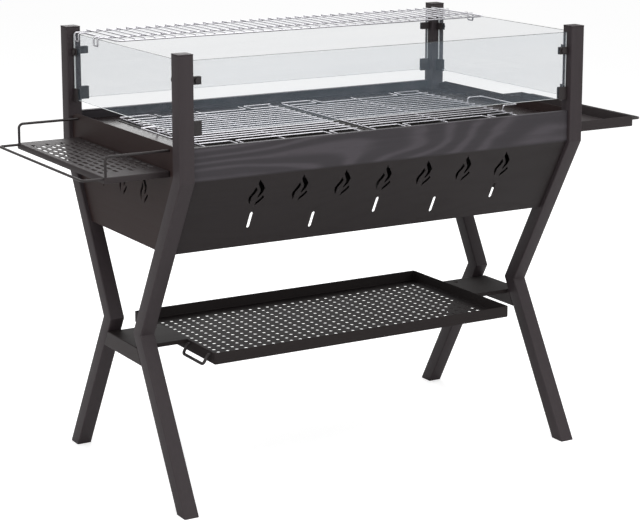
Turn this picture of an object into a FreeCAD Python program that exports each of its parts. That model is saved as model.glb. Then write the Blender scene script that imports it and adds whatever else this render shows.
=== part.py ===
import FreeCAD, Part
import math
import os
import Sketcher
from FreeCAD import Vector

# Charcoal grill on four bent legs, with glass wind guards, two lift-out fire pans, two grates,
# a warming rack, two side trays and a perforated bottom shelf.
# X runs along the length, -Y is the front, +Z is up, and the origin is the middle of the floor area.

SIZES = {
    # Tube frame
    "frame_length": 1042.0,
    "frame_depth": 611.0,
    "foot_depth": 611.0,
    "waist_depth": 198.0,
    "frame_height": 1000.0,
    "post_length": 270.0,
    "waist_height": 357.0,
    "tube_size": 35.0,
    "tube_wall": 1.5,
    "cap_thickness": 3.0,
    "plug_length": 20.0,
    "fit_gap": 0.3,
    "brace_drop": 33.0,
    # Firebox of folded sheet
    "sheet": 1.5,
    "panel_recess": 10.0,
    "rim_drop": 198.0,
    "panel_height": 246.0,
    "end_height": 240.0,
    "rim_lip": 12.0,
    "panel_flange": 18.0,
    "ledge_drop": 21.5,
    "end_corner_run": 25.0,
    "end_corner_drop": 8.0,
    "flame_pitch": 107.0,
    "flame_drop": 146.0,
    "flame_height": 64.0,
    "slot_pitch": 160.0,
    "slot_width": 7.0,
    "slot_rise": 40.0,
    "slot_lean": -0.5,
    "slot_high_drop": 201.0,
    "slot_low_drop": 219.0,
    # Fire pans and grates
    "module_pitch": 429.0,
    "pan_length": 390.0,
    "pan_depth": 426.0,
    "pan_height": 141.0,
    "pan_flange": 11.0,
    "pan_clearance": 1.0,
    "wire": 4.0,
    "grate_bar": 3.0,
    "grate_length": 398.0,
    "grate_pitch": 25.0,
    "notch_depth": 42.0,
    "notch_inset": 74.5,
    "notch_gap": 14.0,
    "notch_bend": 5.0,
    "grate_handle_width": 146.0,
    "grate_handle_shift": 60.0,
    "grate_handle_reach": 45.0,
    "grate_handle_rise": 13.0,
    "handle_bend": 9.0,
    # Glass guards and their clips
    "glass": 4.0,
    "glass_drop": 15.0,
    "glass_height": 154.0,
    "glass_end_gap": 3.0,
    "clip_length": 24.0,
    "clip_wall": 2.0,
    "lower_clip_height": 30.0,
    "clip_floor": 3.0,
    "upper_clip_height": 17.0,
    "upper_clip_drop": 51.0,
    "clamp_screw": 12.0,
    "clamp_screw_head": 4.0,
    # Warming rack
    "rack_end_gap": 6.5,
    "rack_rear_gap": 13.5,
    "rack_depth": 202.0,
    "rack_middle_step": 70.0,
    "rack_pitch": 25.0,
    "rack_bar": 3.0,
    "rack_bend": 12.0,
    "hook_width": 21.0,
    "hook_drop": 18.0,
    "hook_front_step": 80.0,
    "hook_rear_step": 17.0,
    "hook_clearance": 1.0,
    # Left side tray with its rails and bar
    "left_tray_drop": 54.0,
    "left_tray_reach": 150.0,
    "left_tray_depth": 480.0,
    "tray_fold": 13.0,
    "tray_slot_width": 8.5,
    "tray_slot_length": 25.0,
    "tray_slot_step": 17.2,
    "tray_slot_pitch": 33.0,
    "tray_slot_margin": 17.0,
    "rail_wire": 6.0,
    "rail_rise": 43.0,
    "rail_bend": 10.0,
    "rail_inset": 4.0,
    "bar_wire": 6.0,
    "left_bar_reach": 49.0,
    "left_bar_drop": 3.5,
    "bar_bend": 9.0,
    "bar_inset": 8.0,
    # Right side tray with its bar
    "right_tray_drop": 43.0,
    "right_tray_reach": 229.0,
    "right_tray_depth": 452.0,
    "right_tray_height": 25.0,
    "right_bar_reach": 30.0,
    "right_bar_drop": 8.0,
    # Bottom shelf
    "shelf_length": 788.0,
    "shelf_depth": 412.0,
    "shelf_height": 27.0,
    "shelf_sheet": 1.2,
    "bracket_width": 146.0,
    "bracket_sheet": 2.0,
    "bracket_fold": 18.0,
    "bracket_edge": 9.0,
    "bracket_hole": 10.0,
    "bracket_hole_step": 23.0,
    "bracket_hole_inset": 24.0,
    "shelf_handle_wire": 7.0,
    "shelf_handle_front": 186.0,
    "shelf_handle_rear": 88.0,
    "shelf_handle_reach": 18.0,
    "shelf_handle_drop": 20.0,
    "bolt_head": 12.0,
    "bolt_head_height": 4.0,
    "bolt_step": 40.0,
    "bolt_inset": 30.0,
}

doc = FreeCAD.newDocument("charcoal_grill")
sheet = doc.addObject("Spreadsheet::Sheet", "sizes")
for row, (alias, number) in enumerate(SIZES.items(), start=1):
    sheet.set(f"A{row}", alias)
    sheet.set(f"B{row}", str(number))
    sheet.setAlias(f"B{row}", alias)
doc.recompute()


class Size:
    """A length that carries both its value and the expression that gives it."""

    def __init__(self, text, value):
        self.text = text
        self.value = value

    def __add__(self, other):
        other = as_size(other)
        return Size(f"({self.text} + {other.text})", self.value + other.value)

    def __radd__(self, other):
        return as_size(other) + self

    def __sub__(self, other):
        other = as_size(other)
        return Size(f"({self.text} - {other.text})", self.value - other.value)

    def __rsub__(self, other):
        return as_size(other) - self

    def __mul__(self, other):
        other = as_size(other)
        return Size(f"({self.text} * {other.text})", self.value * other.value)

    def __rmul__(self, other):
        return as_size(other) * self

    def __truediv__(self, other):
        other = as_size(other)
        return Size(f"({self.text} / {other.text})", self.value / other.value)

    def __neg__(self):
        return Size(f"(-1 * {self.text})", -self.value)


def as_size(item):
    if isinstance(item, Size):
        return item
    return Size(str(item), float(item))


def root(size):
    return Size(f"sqrt({size.text})", math.sqrt(size.value))


def size(alias):
    return Size(f"sizes.{alias}", float(sheet.get(alias)))


def bind(item, path, length):
    item.setExpression(path, as_size(length).text)


tube = size("tube_size")
wall = size("tube_wall")
gap = size("fit_gap")
plate = size("sheet")
half_length = size("frame_length") / 2
half_depth = size("frame_depth") / 2
half_foot = size("foot_depth") / 2
half_waist = size("waist_depth") / 2
post_top = size("frame_height")
shoulder = post_top - size("post_length")
waist = size("waist_height")
rim = post_top - size("rim_drop")
ledge_top = rim - size("ledge_drop")
recess = size("panel_recess")

# Lean of the upper and lower leg runs, sideways travel over height
upper_lean = (half_depth - half_waist) / (shoulder - waist)
lower_lean = (half_foot - half_waist) / waist
upper_slant = root(upper_lean * upper_lean + 1)
lower_slant = root(lower_lean * lower_lean + 1)

inner_face = half_length - tube
wall_face = half_length - recess
left_reach = wall_face + size("left_tray_reach") + size("left_bar_reach")
right_reach = wall_face + size("right_tray_reach") + size("right_bar_reach")
centre_shift = (left_reach - right_reach) / 2

NODES = []
WIRE_SIDES = 8
BEND_STEPS = 4
SCREW_SIDES = 12
BOLT_SIDES = 6


def place(item, x=0, y=0, z=0):
    """Put a sub-part in the frame of the whole grill."""
    bind(item, "Placement.Base.x", centre_shift + x)
    bind(item, "Placement.Base.y", y)
    bind(item, "Placement.Base.z", z)
    NODES.append(item)


def new_body(label):
    body = doc.addObject("PartDesign::Body", label)
    body.Label = label
    return body


def sketch_on(body, name, plane, offset=0):
    sketch = body.newObject("Sketcher::SketchObject", name)
    support = [face for face in body.Origin.OriginFeatures if face.Role == plane][0]
    sketch.AttachmentSupport = [(support, "")]
    sketch.MapMode = "FlatFace"
    bind(sketch, "AttachmentOffset.Base.z", offset)
    return sketch


def fix_points(sketch, points):
    """Hold points of a sketch at named distances from its origin; a point is its element, its number
    on that element, and its two distances."""
    held = []
    lengths = []
    for element, point, across, up in points:
        for kind, length in (("DistanceX", across), ("DistanceY", up)):
            held.append(Sketcher.Constraint(kind, -1, 1, element, point, length.value))
            lengths.append(length.text)
    first = sketch.ConstraintCount
    sketch.addConstraint(held)
    for number, text in enumerate(lengths, start=first):
        sketch.setExpression(f"Constraints[{number}]", text)


def add_loop(sketch, corners):
    """A closed outline of straight lines through the given corners."""
    corners = [(as_size(across), as_size(up)) for across, up in corners]
    first = sketch.GeometryCount
    count = len(corners)
    lines = []
    joints = []
    for index in range(count):
        start = corners[index]
        end = corners[(index + 1) % count]
        lines.append(Part.LineSegment(Vector(start[0].value, start[1].value, 0),
                                      Vector(end[0].value, end[1].value, 0)))
        following = first + (index + 1) % count
        joints.append(Sketcher.Constraint("Coincident", first + index, 2, following, 1))
    sketch.addGeometry(lines, False)
    sketch.addConstraint(joints)
    fix_points(sketch, [(first + index, 1, *corners[index]) for index in range(count)])


def add_rectangle(sketch, low_across, low_up, high_across, high_up):
    add_loop(sketch, [(low_across, low_up), (high_across, low_up),
                      (high_across, high_up), (low_across, high_up)])


def add_circle(sketch, across, up, radius):
    across = as_size(across)
    up = as_size(up)
    radius = as_size(radius)
    circle = Part.Circle(Vector(across.value, up.value, 0), Vector(0, 0, 1), radius.value)
    element = sketch.addGeometry(circle, False)
    fix_points(sketch, [(element, 3, across, up)])
    number = sketch.addConstraint(Sketcher.Constraint("Radius", element, radius.value))
    sketch.setExpression(f"Constraints[{number}]", radius.text)


def pad(body, sketch, length, flip=False):
    feature = body.newObject("PartDesign::Pad", sketch.Name + "_pad")
    feature.Profile = sketch
    bind(feature, "Length", length)
    feature.Reversed = flip
    sketch.Visibility = False
    return feature


def pocket(body, sketch, length, flip=False):
    feature = body.newObject("PartDesign::Pocket", sketch.Name + "_pocket")
    feature.Profile = sketch
    bind(feature, "Length", length)
    feature.Reversed = flip
    sketch.Visibility = False
    return feature


def pattern(body, feature, direction, pitch, count):
    """Repeat a feature along one axis of its body's origin."""
    row = body.newObject("PartDesign::LinearPattern", feature.Name + "_row")
    row.Originals = [feature]
    axis = [line for line in body.Origin.OriginFeatures if line.Role == direction][0]
    row.Direction = (axis, [""])
    bind(row, "Length", (count - 1) * as_size(pitch))
    row.Occurrences = count
    body.Tip = row


# Tube frame

def leg_line(inset, side):
    """Corners, top to bottom, of the line that lies this far inside the leg's outer face."""
    fold = shoulder + inset * (upper_slant - 1) / upper_lean
    kink = inset * (upper_slant - lower_slant) / (upper_lean + lower_lean)
    return [
        (side * (half_depth - inset), post_top - size("cap_thickness")),
        (side * (half_depth - inset), fold),
        (side * (half_waist - lower_lean * kink - lower_slant * inset), waist + kink),
        (side * (half_foot - lower_slant * inset), as_size(0)),
    ]


def make_leg(label, side_x, side_y):
    body = new_body(label)
    outer = sketch_on(body, label + "_outline", "YZ_Plane")
    add_loop(outer, leg_line(as_size(0), side_y) + leg_line(tube, side_y)[::-1])
    pad(body, outer, tube)
    inner = sketch_on(body, label + "_bore", "YZ_Plane", tube - wall)
    add_loop(inner, leg_line(wall, side_y) + leg_line(tube - wall, side_y)[::-1])
    pocket(body, inner, tube - 2 * wall)
    place(body, x=half_length - tube if side_x > 0 else -half_length)


def make_cap(label, side_x, side_y):
    body = new_body(label)
    top = sketch_on(body, label + "_top", "XY_Plane")
    add_rectangle(top, -tube / 2, -tube / 2, tube / 2, tube / 2)
    pad(body, top, size("cap_thickness"))
    stem = sketch_on(body, label + "_stem", "XY_Plane")
    reach = tube / 2 - wall - gap
    add_rectangle(stem, -reach, -reach, reach, reach)
    pad(body, stem, size("plug_length") / 2, flip=True)
    place(body, x=side_x * (half_length - tube / 2), y=side_y * (half_depth - tube / 2),
          z=post_top - size("cap_thickness"))


def make_foot_plug(label, side_x, side_y):
    body = new_body(label)
    inset = wall + gap
    top = size("plug_length")
    outline = sketch_on(body, label + "_outline", "YZ_Plane")
    outer = half_foot - lower_slant * inset
    inner = half_foot - lower_slant * (tube - inset)
    add_loop(outline, [(side_y * outer, 0), (side_y * (outer - lower_lean * top), top),
                       (side_y * (inner - lower_lean * top), top), (side_y * inner, 0)])
    pad(body, outline, tube - 2 * inset)
    place(body, x=side_x * (half_length - tube / 2) - tube / 2 + inset)


brace_top = waist - size("brace_drop")


def leg_inside(height):
    """Half distance between the front and rear leg's inner faces below the waist."""
    return half_waist + lower_lean * (waist - height) - lower_slant * tube


def make_brace(label, side_x):
    body = new_body(label)
    top = brace_top
    bottom = top - tube
    outline = sketch_on(body, label + "_outline", "YZ_Plane")
    add_loop(outline, [(-leg_inside(bottom), bottom), (leg_inside(bottom), bottom),
                       (leg_inside(top), top), (-leg_inside(top), top)])
    pad(body, outline, tube)
    bore = sketch_on(body, label + "_bore", "XZ_Plane", half_waist + tube)
    add_rectangle(bore, wall, bottom + wall, tube - wall, top - wall)
    pocket(body, bore, 2 * (half_waist + tube))
    place(body, x=half_length - tube if side_x > 0 else -half_length)


# Firebox

def panel_line(inset, side, low, high):
    """Corners, top to bottom, of a sheet face that follows the upper part of the legs."""
    fold = shoulder + inset * (upper_slant - 1) / upper_lean
    foot = half_depth - upper_slant * inset - upper_lean * (shoulder - low)
    return [(side * (half_depth - inset), high), (side * (half_depth - inset), fold), (side * foot, low)]


# Three strokes of one flame, across and up from the middle of its base, in flame heights
FLAME = (
    ((-0.02, 1.00), (-0.05, 0.84), (0.03, 0.70), (0.09, 0.61), (0.11, 0.53), (0.05, 0.31),
     (0.10, 0.31), (0.22, 0.47), (0.26, 0.64), (0.12, 0.84), (0.07, 0.88)),
    ((-0.09, 0.72), (-0.01, 0.60), (-0.06, 0.48), (-0.16, 0.34), (-0.18, 0.06), (-0.27, 0.25),
     (-0.27, 0.36), (-0.16, 0.55)),
    ((0.26, 0.37), (0.33, 0.29), (0.21, 0.15), (0.03, 0.00), (0.05, 0.13), (0.21, 0.28)),
)
FRONT_FLAMES = 7
END_FLAMES = 3


def cut_flames(body, plane, offset, depth, turn, count, direction):
    """A row of flames cut through a sheet; turn is -1 where the sheet is seen from the other side."""
    sketch = sketch_on(body, body.Label + "_flame", plane, offset)
    pitch = size("flame_pitch")
    height = size("flame_height")
    base = rim - size("flame_drop")
    start = -(count - 1) / 2 * pitch
    for stroke in FLAME:
        add_loop(sketch, [(start + turn * across * height, base + up * height) for across, up in stroke])
    cut = pocket(body, sketch, depth)
    pattern(body, cut, direction, pitch, count)


def cut_slots(body, offset, depth, turn):
    """Five leaning slots, the second and fourth lower than the others."""
    pitch = size("slot_pitch")
    half = size("slot_width") / 2
    rise = size("slot_rise")
    lean = size("slot_lean") / 2
    for name, drop, count in (("high", size("slot_high_drop"), 3), ("low", size("slot_low_drop"), 2)):
        sketch = sketch_on(body, f"{body.Label}_slot_{name}", "XZ_Plane", offset)
        middle = -(count - 1) * pitch
        base = rim - drop
        corners = [(-half - lean, half), (-lean, 0), (half - lean, half),
                   (half + lean, rise - half), (lean, rise), (-half + lean, rise - half)]
        add_loop(sketch, [(middle + turn * across, base + up) for across, up in corners])
        cut = pocket(body, sketch, depth)
        pattern(body, cut, "X_Axis", 2 * pitch, count)


def make_side_panel(label, side):
    """Front or rear sheet: an upright band, a fold, and a lower part that slants with the legs."""
    body = new_body(label)
    low = rim - size("panel_height")
    outer = panel_line(recess, side, low, rim)
    inner = panel_line(recess + plate, side, low, rim - plate)
    lip = half_depth - recess - size("rim_lip")
    section = sketch_on(body, label + "_section", "YZ_Plane", -(inner_face - gap))
    add_loop(section, outer[::-1] + [(side * lip, rim), (side * lip, rim - plate)] + inner)
    pad(body, section, 2 * (inner_face - gap))
    for end, start in (("left", -(inner_face - gap)), ("right", inner_face - gap - plate)):
        flange = sketch_on(body, f"{label}_flange_{end}", "YZ_Plane", start)
        edge = panel_line(recess + size("panel_flange"), side, low, rim - plate)
        add_loop(flange, inner[::-1] + edge)
        pad(body, flange, plate)
    offset = half_depth if side < 0 else 0
    cut_flames(body, "XZ_Plane", offset, half_depth, -side, FRONT_FLAMES, "X_Axis")
    cut_slots(body, offset, half_depth, -side)
    place(body)


def make_end_panel(label, side):
    body = new_body(label)
    low = rim - size("end_height")
    start = wall_face - plate if side > 0 else -wall_face
    front = panel_line(tube, -1, low, rim)
    rear = panel_line(tube, 1, low, rim)
    run = half_depth - tube - size("end_corner_run")
    front[0] = (front[0][0], rim - size("end_corner_drop"))
    rear[0] = (rear[0][0], rim - size("end_corner_drop"))
    wall_sketch = sketch_on(body, label + "_wall", "YZ_Plane", start)
    add_loop(wall_sketch, [(-run, rim)] + front + rear[::-1] + [(run, rim)])
    pad(body, wall_sketch, plate)
    fold = size("panel_flange")
    fold_start = wall_face - plate - fold if side > 0 else -wall_face + plate
    for name, facing, face in (("front", -1, front), ("rear", 1, rear)):
        strip = sketch_on(body, f"{label}_{name}_strip", "YZ_Plane", fold_start)
        edge = panel_line(tube + plate, facing, low, ledge_top - plate - gap)
        face = panel_line(tube, facing, low, ledge_top - plate - gap)
        add_loop(strip, face + edge[::-1])
        pad(body, strip, fold)
    cut_flames(body, "YZ_Plane", start + plate, plate, side, END_FLAMES, "Y_Axis")
    place(body)


def make_ledge():
    """Flat shelf inside the rim, notched round the four posts, with a mouth for each fire pan."""
    body = new_body("firebox_ledge")
    sketch = sketch_on(body, "ledge_outline", "XY_Plane", ledge_top - plate)
    long_x = wall_face - plate
    short_x = inner_face - gap - plate
    long_y = half_depth - recess - plate
    short_y = half_depth - tube - gap
    add_loop(sketch, [(-short_x, -long_y), (short_x, -long_y), (short_x, -short_y), (long_x, -short_y),
                      (long_x, short_y), (short_x, short_y), (short_x, long_y), (-short_x, long_y),
                      (-short_x, short_y), (-long_x, short_y), (-long_x, -short_y), (-short_x, -short_y)])
    mouth_x = size("pan_length") / 2 + size("pan_clearance")
    mouth_y = size("pan_depth") / 2 + size("pan_clearance")
    for side in (-1, 1):
        middle = side * size("module_pitch") / 2
        add_rectangle(sketch, middle - mouth_x, -mouth_y, middle + mouth_x, mouth_y)
    pad(body, sketch, plate)
    place(body)


# Fire pans and grates

def make_pan(label, side):
    body = new_body(label)
    half_x = size("pan_length") / 2
    half_y = size("pan_depth") / 2
    top = ledge_top + plate
    floor = top - size("pan_height")
    flange = size("pan_flange")
    box = sketch_on(body, label + "_box", "XY_Plane", floor)
    add_rectangle(box, -half_x, -half_y, half_x, half_y)
    pad(body, box, top - floor)
    edge = sketch_on(body, label + "_flange", "XY_Plane", top - plate)
    add_rectangle(edge, -half_x - flange, -half_y - flange, half_x + flange, half_y + flange)
    pad(body, edge, plate)
    hollow = sketch_on(body, label + "_hollow", "XY_Plane", top)
    add_rectangle(hollow, -half_x + plate, -half_y + plate, half_x - plate, half_y - plate)
    pocket(body, hollow, top - floor - plate)
    place(body, x=side * size("module_pitch") / 2)


def wire_section(start, run, diameter):
    """Eight-sided section of a wire, flat above and below, this wide across its flats."""
    sideways = run.cross(Vector(0, 0, 1))
    if sideways.Length < 1e-6:
        sideways = Vector(1, 0, 0)
    sideways.normalize()
    upward = sideways.cross(run).normalize()
    reach = diameter / 2 / math.cos(math.pi / WIRE_SIDES)
    corners = []
    for index in range(WIRE_SIDES + 1):
        angle = (index + 0.5) * 2 * math.pi / WIRE_SIDES
        corners.append(start + sideways * (reach * math.cos(angle)) + upward * (reach * math.sin(angle)))
    return Part.makePolygon(corners)


def straight_wire(start, end, diameter):
    start = Vector(*start)
    run = Vector(*end) - start
    return Part.Face(wire_section(start, run, diameter)).extrude(run)


def bent_wire(points, diameter, bend):
    """A wire along straight runs, joined by bends of one radius that turn in a few short steps."""
    points = [Vector(*point) for point in points]
    route = [points[0]]
    for before, corner, after in zip(points, points[1:], points[2:]):
        arriving = (corner - before).normalize()
        leaving = (after - corner).normalize()
        turn = arriving.getAngle(leaving)
        centre = corner + (leaving - arriving).normalize() * (bend / math.cos(turn / 2))
        begin = corner - arriving * (bend * math.tan(turn / 2))
        outward = (begin - centre).normalize()
        for step in range(BEND_STEPS + 1):
            angle = turn * step / BEND_STEPS
            route.append(centre + outward * (bend * math.cos(angle)) + arriving * (bend * math.sin(angle)))
    route.append(points[-1])
    profile = wire_section(points[0], points[1] - points[0], diameter)
    return Part.makePolygon(route).makePipeShell([profile], True, False, 1)


def wire_piece(label, solids, x=0):
    """A welded wire piece, whose runs stay separate round bars that touch."""
    piece = doc.addObject("Part::Feature", label)
    piece.Label = label
    piece.Shape = Part.makeCompound(solids) if len(solids) > 1 else solids[0]
    place(piece, x=x)


grate_wire = size("wire").value
pan_top = (ledge_top + plate).value
cross_level = pan_top + grate_wire / 2
grate_bar = size("grate_bar").value
bar_level = cross_level + grate_wire / 2 + grate_bar / 2
grate_half = size("grate_length").value / 2
grate_pitch = size("grate_pitch").value
grate_outer = (size("pan_depth") / 2 + size("pan_flange")).value - grate_wire / 2
grate_inner = grate_outer - size("notch_depth").value
grate_rows = int(grate_inner / grate_pitch - 1 / 2)


def make_grate(label, side):
    """Long wires on three cross wires, with loops along the front and rear edges, where a lifter
    grips between them."""
    solids = []
    for row in range(-grate_rows, grate_rows + 1):
        across = row * grate_pitch
        solids.append(straight_wire((-grate_half, across, bar_level), (grate_half, across, bar_level),
                                    grate_bar))
    corner_end = grate_half - size("notch_inset").value
    middle_end = corner_end - size("notch_gap").value
    bend = size("notch_bend").value
    for side_y in (-1, 1):
        near = side_y * grate_inner
        far = side_y * grate_outer
        solids.append(bent_wire([(-middle_end, far, bar_level), (-middle_end, near, bar_level),
                                 (middle_end, near, bar_level), (middle_end, far, bar_level)],
                                grate_bar, bend))
        for side_x in (-1, 1):
            end = side_x * grate_half
            turn = side_x * corner_end
            solids.append(bent_wire([(end, far, bar_level), (turn, far, bar_level),
                                     (turn, near, bar_level), (end, near, bar_level)], grate_bar, bend))
    reach = grate_outer + grate_wire / 2
    for along in (-grate_half + grate_wire, 0, grate_half - grate_wire):
        solids.append(straight_wire((along, -reach, cross_level), (along, reach, cross_level), grate_wire))
    wire_piece(label, solids, x=side * size("module_pitch") / 2)


def make_grate_handle(label, side):
    near = side * (grate_half + gap.value / 2 - grate_wire / 2)
    grip = side * (grate_half + size("grate_handle_reach").value)
    middle = -size("grate_handle_shift").value
    half = size("grate_handle_width").value / 2
    top = cross_level + size("grate_handle_rise").value
    foot = near + side * 2 * size("handle_bend").value
    points = [(near, middle + half, cross_level), (foot, middle + half, cross_level),
              (grip, middle + half, top), (grip, middle - half, top),
              (foot, middle - half, cross_level), (near, middle - half, cross_level)]
    handle = bent_wire(points, grate_wire, size("handle_bend").value)
    wire_piece(label, [handle], x=side * size("module_pitch") / 2)


# Glass guards

glass = size("glass")
glass_top = post_top - size("glass_drop")
glass_bottom = glass_top - size("glass_height")
pane_middle = tube / 2


def make_long_glass(label, side):
    body = new_body(label)
    sketch = sketch_on(body, label + "_pane", "XY_Plane", glass_bottom)
    half = inner_face - size("glass_end_gap")
    add_rectangle(sketch, -half, -glass / 2, half, glass / 2)
    pad(body, sketch, size("glass_height"))
    place(body, y=side * (half_depth - pane_middle))


def make_end_glass(label, side):
    body = new_body(label)
    sketch = sketch_on(body, label + "_pane", "XY_Plane", glass_bottom)
    half = half_depth - tube - size("glass_end_gap")
    add_rectangle(sketch, -glass / 2, -half, glass / 2, half)
    pad(body, sketch, size("glass_height"))
    place(body, x=side * (half_length - pane_middle))


def polygon_head(base, direction, width, height, sides):
    """A screw head with flats, standing on a face."""
    sideways = Vector(1, 0, 0)
    upward = direction.cross(sideways)
    reach = width / 2 / math.cos(math.pi / sides)
    corners = []
    for index in range(sides + 1):
        angle = (index + 0.5) * 2 * math.pi / sides
        corners.append(base + sideways * (reach * math.cos(angle)) + upward * (reach * math.sin(angle)))
    return Part.Face(Part.makePolygon(corners)).extrude(direction * height)


def clip_solid(bottom, height, floor, facing, outward):
    """A channel round the pane's end: a web on the post, two cheeks and, low down, a floor."""
    length = size("clip_length").value
    cheek = size("clip_wall").value
    half = glass.value / 2 + gap.value + cheek
    block = Part.makeBox(length, 2 * half, height, Vector(0, -half, bottom))
    slot = Part.makeBox(length, 2 * (half - cheek), height, Vector(cheek, cheek - half, bottom + floor))
    solids = [block.cut(slot)]
    if floor == 0:
        head = size("clamp_screw").value
        rise = size("clamp_screw_head").value
        seat = Vector(length / 2 + cheek, outward * half, bottom + height / 2)
        solids.append(polygon_head(seat, Vector(0, outward, 0), head, rise, SCREW_SIDES))
    turned = []
    for solid in solids:
        turned.append(solid.mirror(Vector(0, 0, 0), Vector(1, 0, 0)) if facing < 0 else solid)
    return turned


def make_clips(label, wall_name, side, height, bottom, floor):
    """The two clips of one pane, one against each post."""
    solids = []
    along_x = wall_name == "long"
    for end in (-1, 1):
        reach = inner_face.value if along_x else (half_depth - tube).value
        outward = side
        pair = clip_solid(bottom, height, floor, -end, outward if along_x else -outward)
        for solid in pair:
            solid.translate(Vector(end * reach, 0, 0))
            solids.append(solid)
    if not along_x:
        for solid in solids:
            solid.rotate(Vector(0, 0, 0), Vector(0, 0, 1), 90)
        offset = Vector(side * (half_length - pane_middle).value, 0, 0)
    else:
        offset = Vector(0, side * (half_depth - pane_middle).value, 0)
    for solid in solids:
        solid.translate(offset)
    wire_piece(label, solids)


# Warming rack

rack_wire = size("wire").value
rack_level = (glass_top + size("hook_clearance")).value + rack_wire / 2
rack_half = (half_length - pane_middle - glass / 2 - size("rack_end_gap")).value - rack_wire / 2
rack_rear = (half_depth - tube - size("rack_rear_gap")).value
rack_front = rack_rear - size("rack_depth").value


def make_rack():
    bend = size("rack_bend").value
    bar = size("rack_bar").value
    loop = [(0, rack_front, rack_level), (rack_half, rack_front, rack_level),
            (rack_half, rack_rear, rack_level), (-rack_half, rack_rear, rack_level),
            (-rack_half, rack_front, rack_level), (0, rack_front, rack_level)]
    solids = [bent_wire(loop, rack_wire, bend)]
    middle = rack_front + size("rack_middle_step").value
    inside = rack_half - rack_wire / 2 - gap.value / 2
    solids.append(straight_wire((-inside, middle, rack_level), (inside, middle, rack_level), rack_wire))
    pitch = size("rack_pitch").value
    count = 2 * int((rack_half - bend) / pitch) + 1
    top = rack_level + rack_wire / 2 + bar / 2
    for index in range(count):
        along = (index - (count - 1) / 2) * pitch
        solids.append(straight_wire((along, rack_front - rack_wire / 2, top),
                                    (along, rack_rear + rack_wire / 2, top), bar))
    wire_piece("warming_rack", solids)


def make_hooks(label, side):
    """Wire hooks that drop over the top edge of the end glass."""
    start = side * (rack_half + rack_wire / 2 + gap.value / 2)
    outer_face = half_length - pane_middle + glass / 2
    out = side * ((outer_face + size("hook_clearance")).value + rack_wire / 2)
    low = rack_level - size("hook_drop").value
    half = size("hook_width").value / 2
    solids = []
    for middle in (rack_front + size("hook_front_step").value, rack_rear - size("hook_rear_step").value):
        points = [(start, middle - half, rack_level), (out, middle - half, rack_level),
                  (out, middle - half, low), (out, middle + half, low),
                  (out, middle + half, rack_level), (start, middle + half, rack_level)]
        solids.append(bent_wire(points, rack_wire, rack_wire))
    wire_piece(label, solids)


# Side trays

TRAY_ROWS = 12
left_tray_top = rim - size("left_tray_drop")
right_tray_top = rim - size("right_tray_drop")


def make_left_tray():
    body = new_body("side_tray_left")
    level = left_tray_top
    half = size("left_tray_depth") / 2
    inner = -wall_face
    outer = -(wall_face + size("left_tray_reach"))
    block = sketch_on(body, "left_tray_block", "XY_Plane", level - size("tray_fold"))
    add_rectangle(block, outer, -half, inner, half)
    pad(body, block, size("tray_fold"))
    hollow = sketch_on(body, "left_tray_hollow", "XY_Plane", level - plate)
    add_rectangle(hollow, outer + plate, -half + plate, inner - plate, half - plate)
    pocket(body, hollow, size("tray_fold"))
    width = size("tray_slot_width")
    length = size("tray_slot_length")
    step = size("tray_slot_step")
    pitch = size("tray_slot_pitch")
    columns = int((size("left_tray_reach") - size("tray_slot_margin")).value / step.value) + 1
    for name, shift, rows in (("long", 0, TRAY_ROWS), ("short", 1, TRAY_ROWS - 1)):
        slots = sketch_on(body, f"left_tray_{name}_columns", "XY_Plane", level)
        middle = outer + size("tray_slot_margin") + shift * step
        for row in range(rows):
            across = (row - (rows - 1) / 2) * pitch
            add_rectangle(slots, middle - width / 2, across - length / 2,
                          middle + width / 2, across + length / 2)
        cut = pocket(body, slots, plate)
        pattern(body, cut, "X_Axis", 2 * step, (columns + 1 - shift) // 2)
    place(body)


def make_left_rail(label, side):
    level = left_tray_top.value
    wire = size("rail_wire").value
    outer = -(wall_face + size("left_tray_reach") - size("rail_inset")).value
    inner = -wall_face.value - gap.value / 2
    across = side * (size("left_tray_depth") / 2 - size("rail_inset")).value
    top = level + size("rail_rise").value
    points = [(outer, across, level), (outer, across, top), (inner, across, top)]
    wire_piece(label, [bent_wire(points, wire, size("rail_bend").value)])


def bar_solid(face, reach, across, level, side):
    """A towel bar whose ends stand on the tray's outer face."""
    wire = size("bar_wire").value
    out = side * (face + reach - wire / 2)
    face = side * face
    points = [(face, -across, level), (out, -across, level), (out, across, level), (face, across, level)]
    return bent_wire(points, wire, size("bar_bend").value)


def make_left_bar():
    face = (wall_face + size("left_tray_reach")).value
    across = (size("left_tray_depth") / 2 - size("bar_inset")).value
    level = (left_tray_top - size("left_bar_drop")).value
    bar = bar_solid(face, size("left_bar_reach").value, across, level, -1)
    wire_piece("towel_bar_left", [bar])


def make_right_tray():
    body = new_body("side_tray_right")
    level = right_tray_top
    half = size("right_tray_depth") / 2
    inner = wall_face
    outer = wall_face + size("right_tray_reach")
    block = sketch_on(body, "right_tray_block", "XY_Plane", level - size("right_tray_height"))
    add_rectangle(block, inner, -half, outer, half)
    pad(body, block, size("right_tray_height"))
    hollow = sketch_on(body, "right_tray_hollow", "XY_Plane", level)
    add_rectangle(hollow, inner + plate, -half + plate, outer - plate, half - plate)
    pocket(body, hollow, size("right_tray_height") - plate)
    place(body)


def make_right_bar():
    face = (wall_face + size("right_tray_reach")).value
    across = (size("right_tray_depth") / 2 - size("bar_inset")).value
    level = (right_tray_top - size("right_bar_drop")).value
    bar = bar_solid(face, size("right_bar_reach").value, across, level, 1)
    wire_piece("towel_bar_right", [bar])


# Bottom shelf

bracket_top = brace_top + size("bracket_sheet")


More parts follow.
